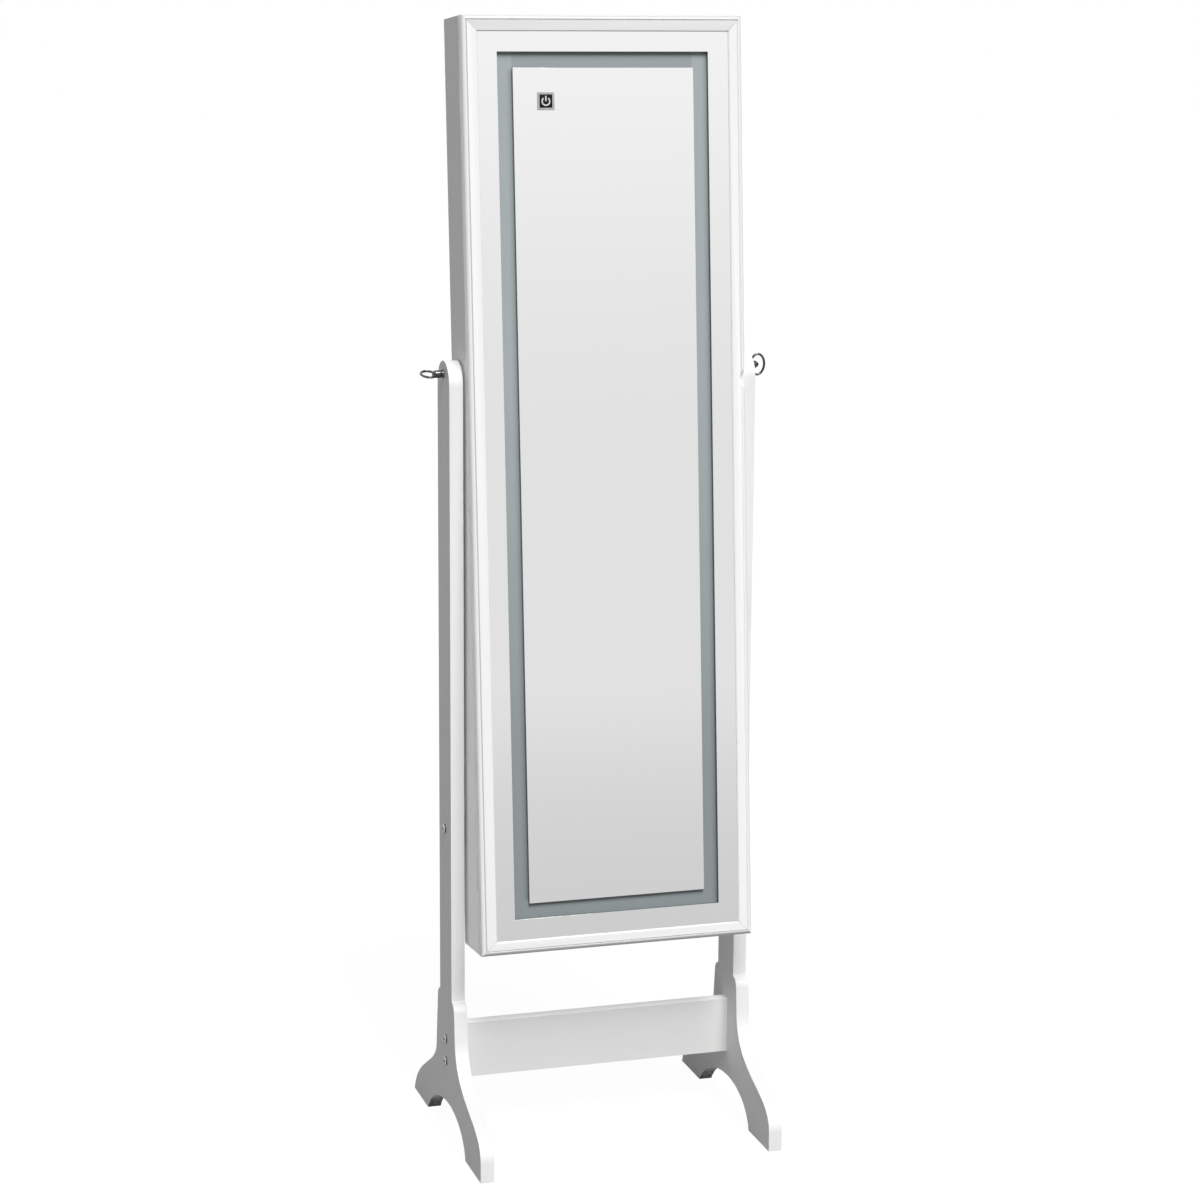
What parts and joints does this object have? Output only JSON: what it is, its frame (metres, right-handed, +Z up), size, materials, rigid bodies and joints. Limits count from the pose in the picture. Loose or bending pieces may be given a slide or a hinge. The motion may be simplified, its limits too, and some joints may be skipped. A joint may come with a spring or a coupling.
{
  "type": "standing jewelry cabinet with mirror door",
  "caption": "Free-standing jewelry cabinet, full-length lit mirror door, leaning back on side pivots between two footed side boards.",
  "frame": {"origin": "on the floor, midway between the side boards and under the pivot axis, at the centre of the bounding box's underside", "axes": "+X to the right of a person who looks into the mirror, +Y to the back, +Z up"},
  "size_m": [0.4673, 0.362, 1.4763],
  "materials": {
    "white_lacquer": "satin white lacquer on fibreboard",
    "white_inside": "white foil on fibreboard",
    "mirror": "silvered, polished",
    "diffuser": "frosted translucent sheet",
    "led": "light strip with yellow phosphor spots",
    "backing": "thin white hardboard",
    "velvet": "black velvet",
    "switch_glass": "black touch plate",
    "black_plastic": "fine matt",
    "cell": "plain cell sleeve",
    "bright_steel": "polished plated steel",
    "plain_steel": "zinc plated",
    "dark_metal": "black enamel",
    "glide": "brown glide",
    "nylon": "white nylon"
  },
  "bodies": {
    "stand": {"left_side_board": "white_lacquer", "right_side_board": "white_lacquer", "crossbar": "white_lacquer", "rear_rail": "white_lacquer", "crossbar_bolts": "bright_steel", "rail_bolts": "bright_steel", "foot_pads": "glide"},
    "cabinet": {"case_left_side": "white_lacquer", "case_right_side": "white_lacquer", "case_top": "white_lacquer", "case_bottom": "white_lacquer", "back_panel": "white_inside", "back_lining": "velvet", "lower_shelf": "white_inside", "middle_shelf": "white_inside", "upper_shelf": "white_inside", "ring_shelf": "white_inside", "bottom_lip": "white_inside", "lower_lip": "white_inside", "middle_lip": "white_inside", "upper_lip": "white_inside", "shelf_dividers": "white_inside", "bracelet_rod": "bright_steel", "rod_sockets": "nylon", "hook_rail": "white_inside", "necklace_hooks": "bright_steel", "earring_board": "velvet", "earring_strips": "white_inside", "ring_cushion": "velvet", "hinge_case_leaves": "plain_steel", "hinge_pins": "plain_steel", "lock_plate": "dark_metal", "lock_body": "plain_steel", "magnet_catches": "nylon", "pivot_inserts": "plain_steel", "pivot_washers": "nylon"},
    "door": {"door_left_stile": "white_lacquer", "door_right_stile": "white_lacquer", "door_top_rail": "white_lacquer", "door_bottom_rail": "white_lacquer", "mirror_border": "mirror", "mirror_centre": "mirror", "light_diffuser": "diffuser", "door_backing_board": "backing", "led_strip": "led", "touch_switch": "switch_glass", "battery_box": "black_plastic", "battery_cover": "black_plastic", "batteries": "cell", "hinge_door_leaves": "plain_steel", "lock_strike": "plain_steel", "catch_plates": "plain_steel"},
    "left_knob": {"left_ring_knob": "bright_steel"},
    "right_knob": {"right_ring_knob": "bright_steel"},
    "lock_cylinder": {"lock_plug": "plain_steel", "lock_cam": "plain_steel"}
  },
  "joints": [
    {"name": "cabinet_tilt", "type": "hinge", "parent": "stand", "child": "cabinet", "pos_m": [0, 0, 1.026], "axis": [-1, 0, 0], "range_deg": [0, 12]},
    {"name": "door_swing", "type": "hinge", "parent": "cabinet", "child": "door", "pos_m": [-0.1838, -0.03429, 1.02876], "axis": [0, -0.0802, -0.9968], "range_deg": [0, 90]},
    {"name": "left_knob_turn", "type": "hinge", "parent": "stand", "child": "left_knob", "pos_m": [-0.206, 0, 1.026], "axis": [-1, 0, 0], "continuous": true},
    {"name": "right_knob_turn", "type": "hinge", "parent": "stand", "child": "right_knob", "pos_m": [0.206, 0, 1.026], "axis": [1, 0, 0], "continuous": true},
    {"name": "lock_turn", "type": "hinge", "parent": "cabinet", "child": "lock_cylinder", "pos_m": [0.185, -0.04739, 0.70878], "axis": [1, 0, 0], "range_deg": [0, 90]}
  ]
}
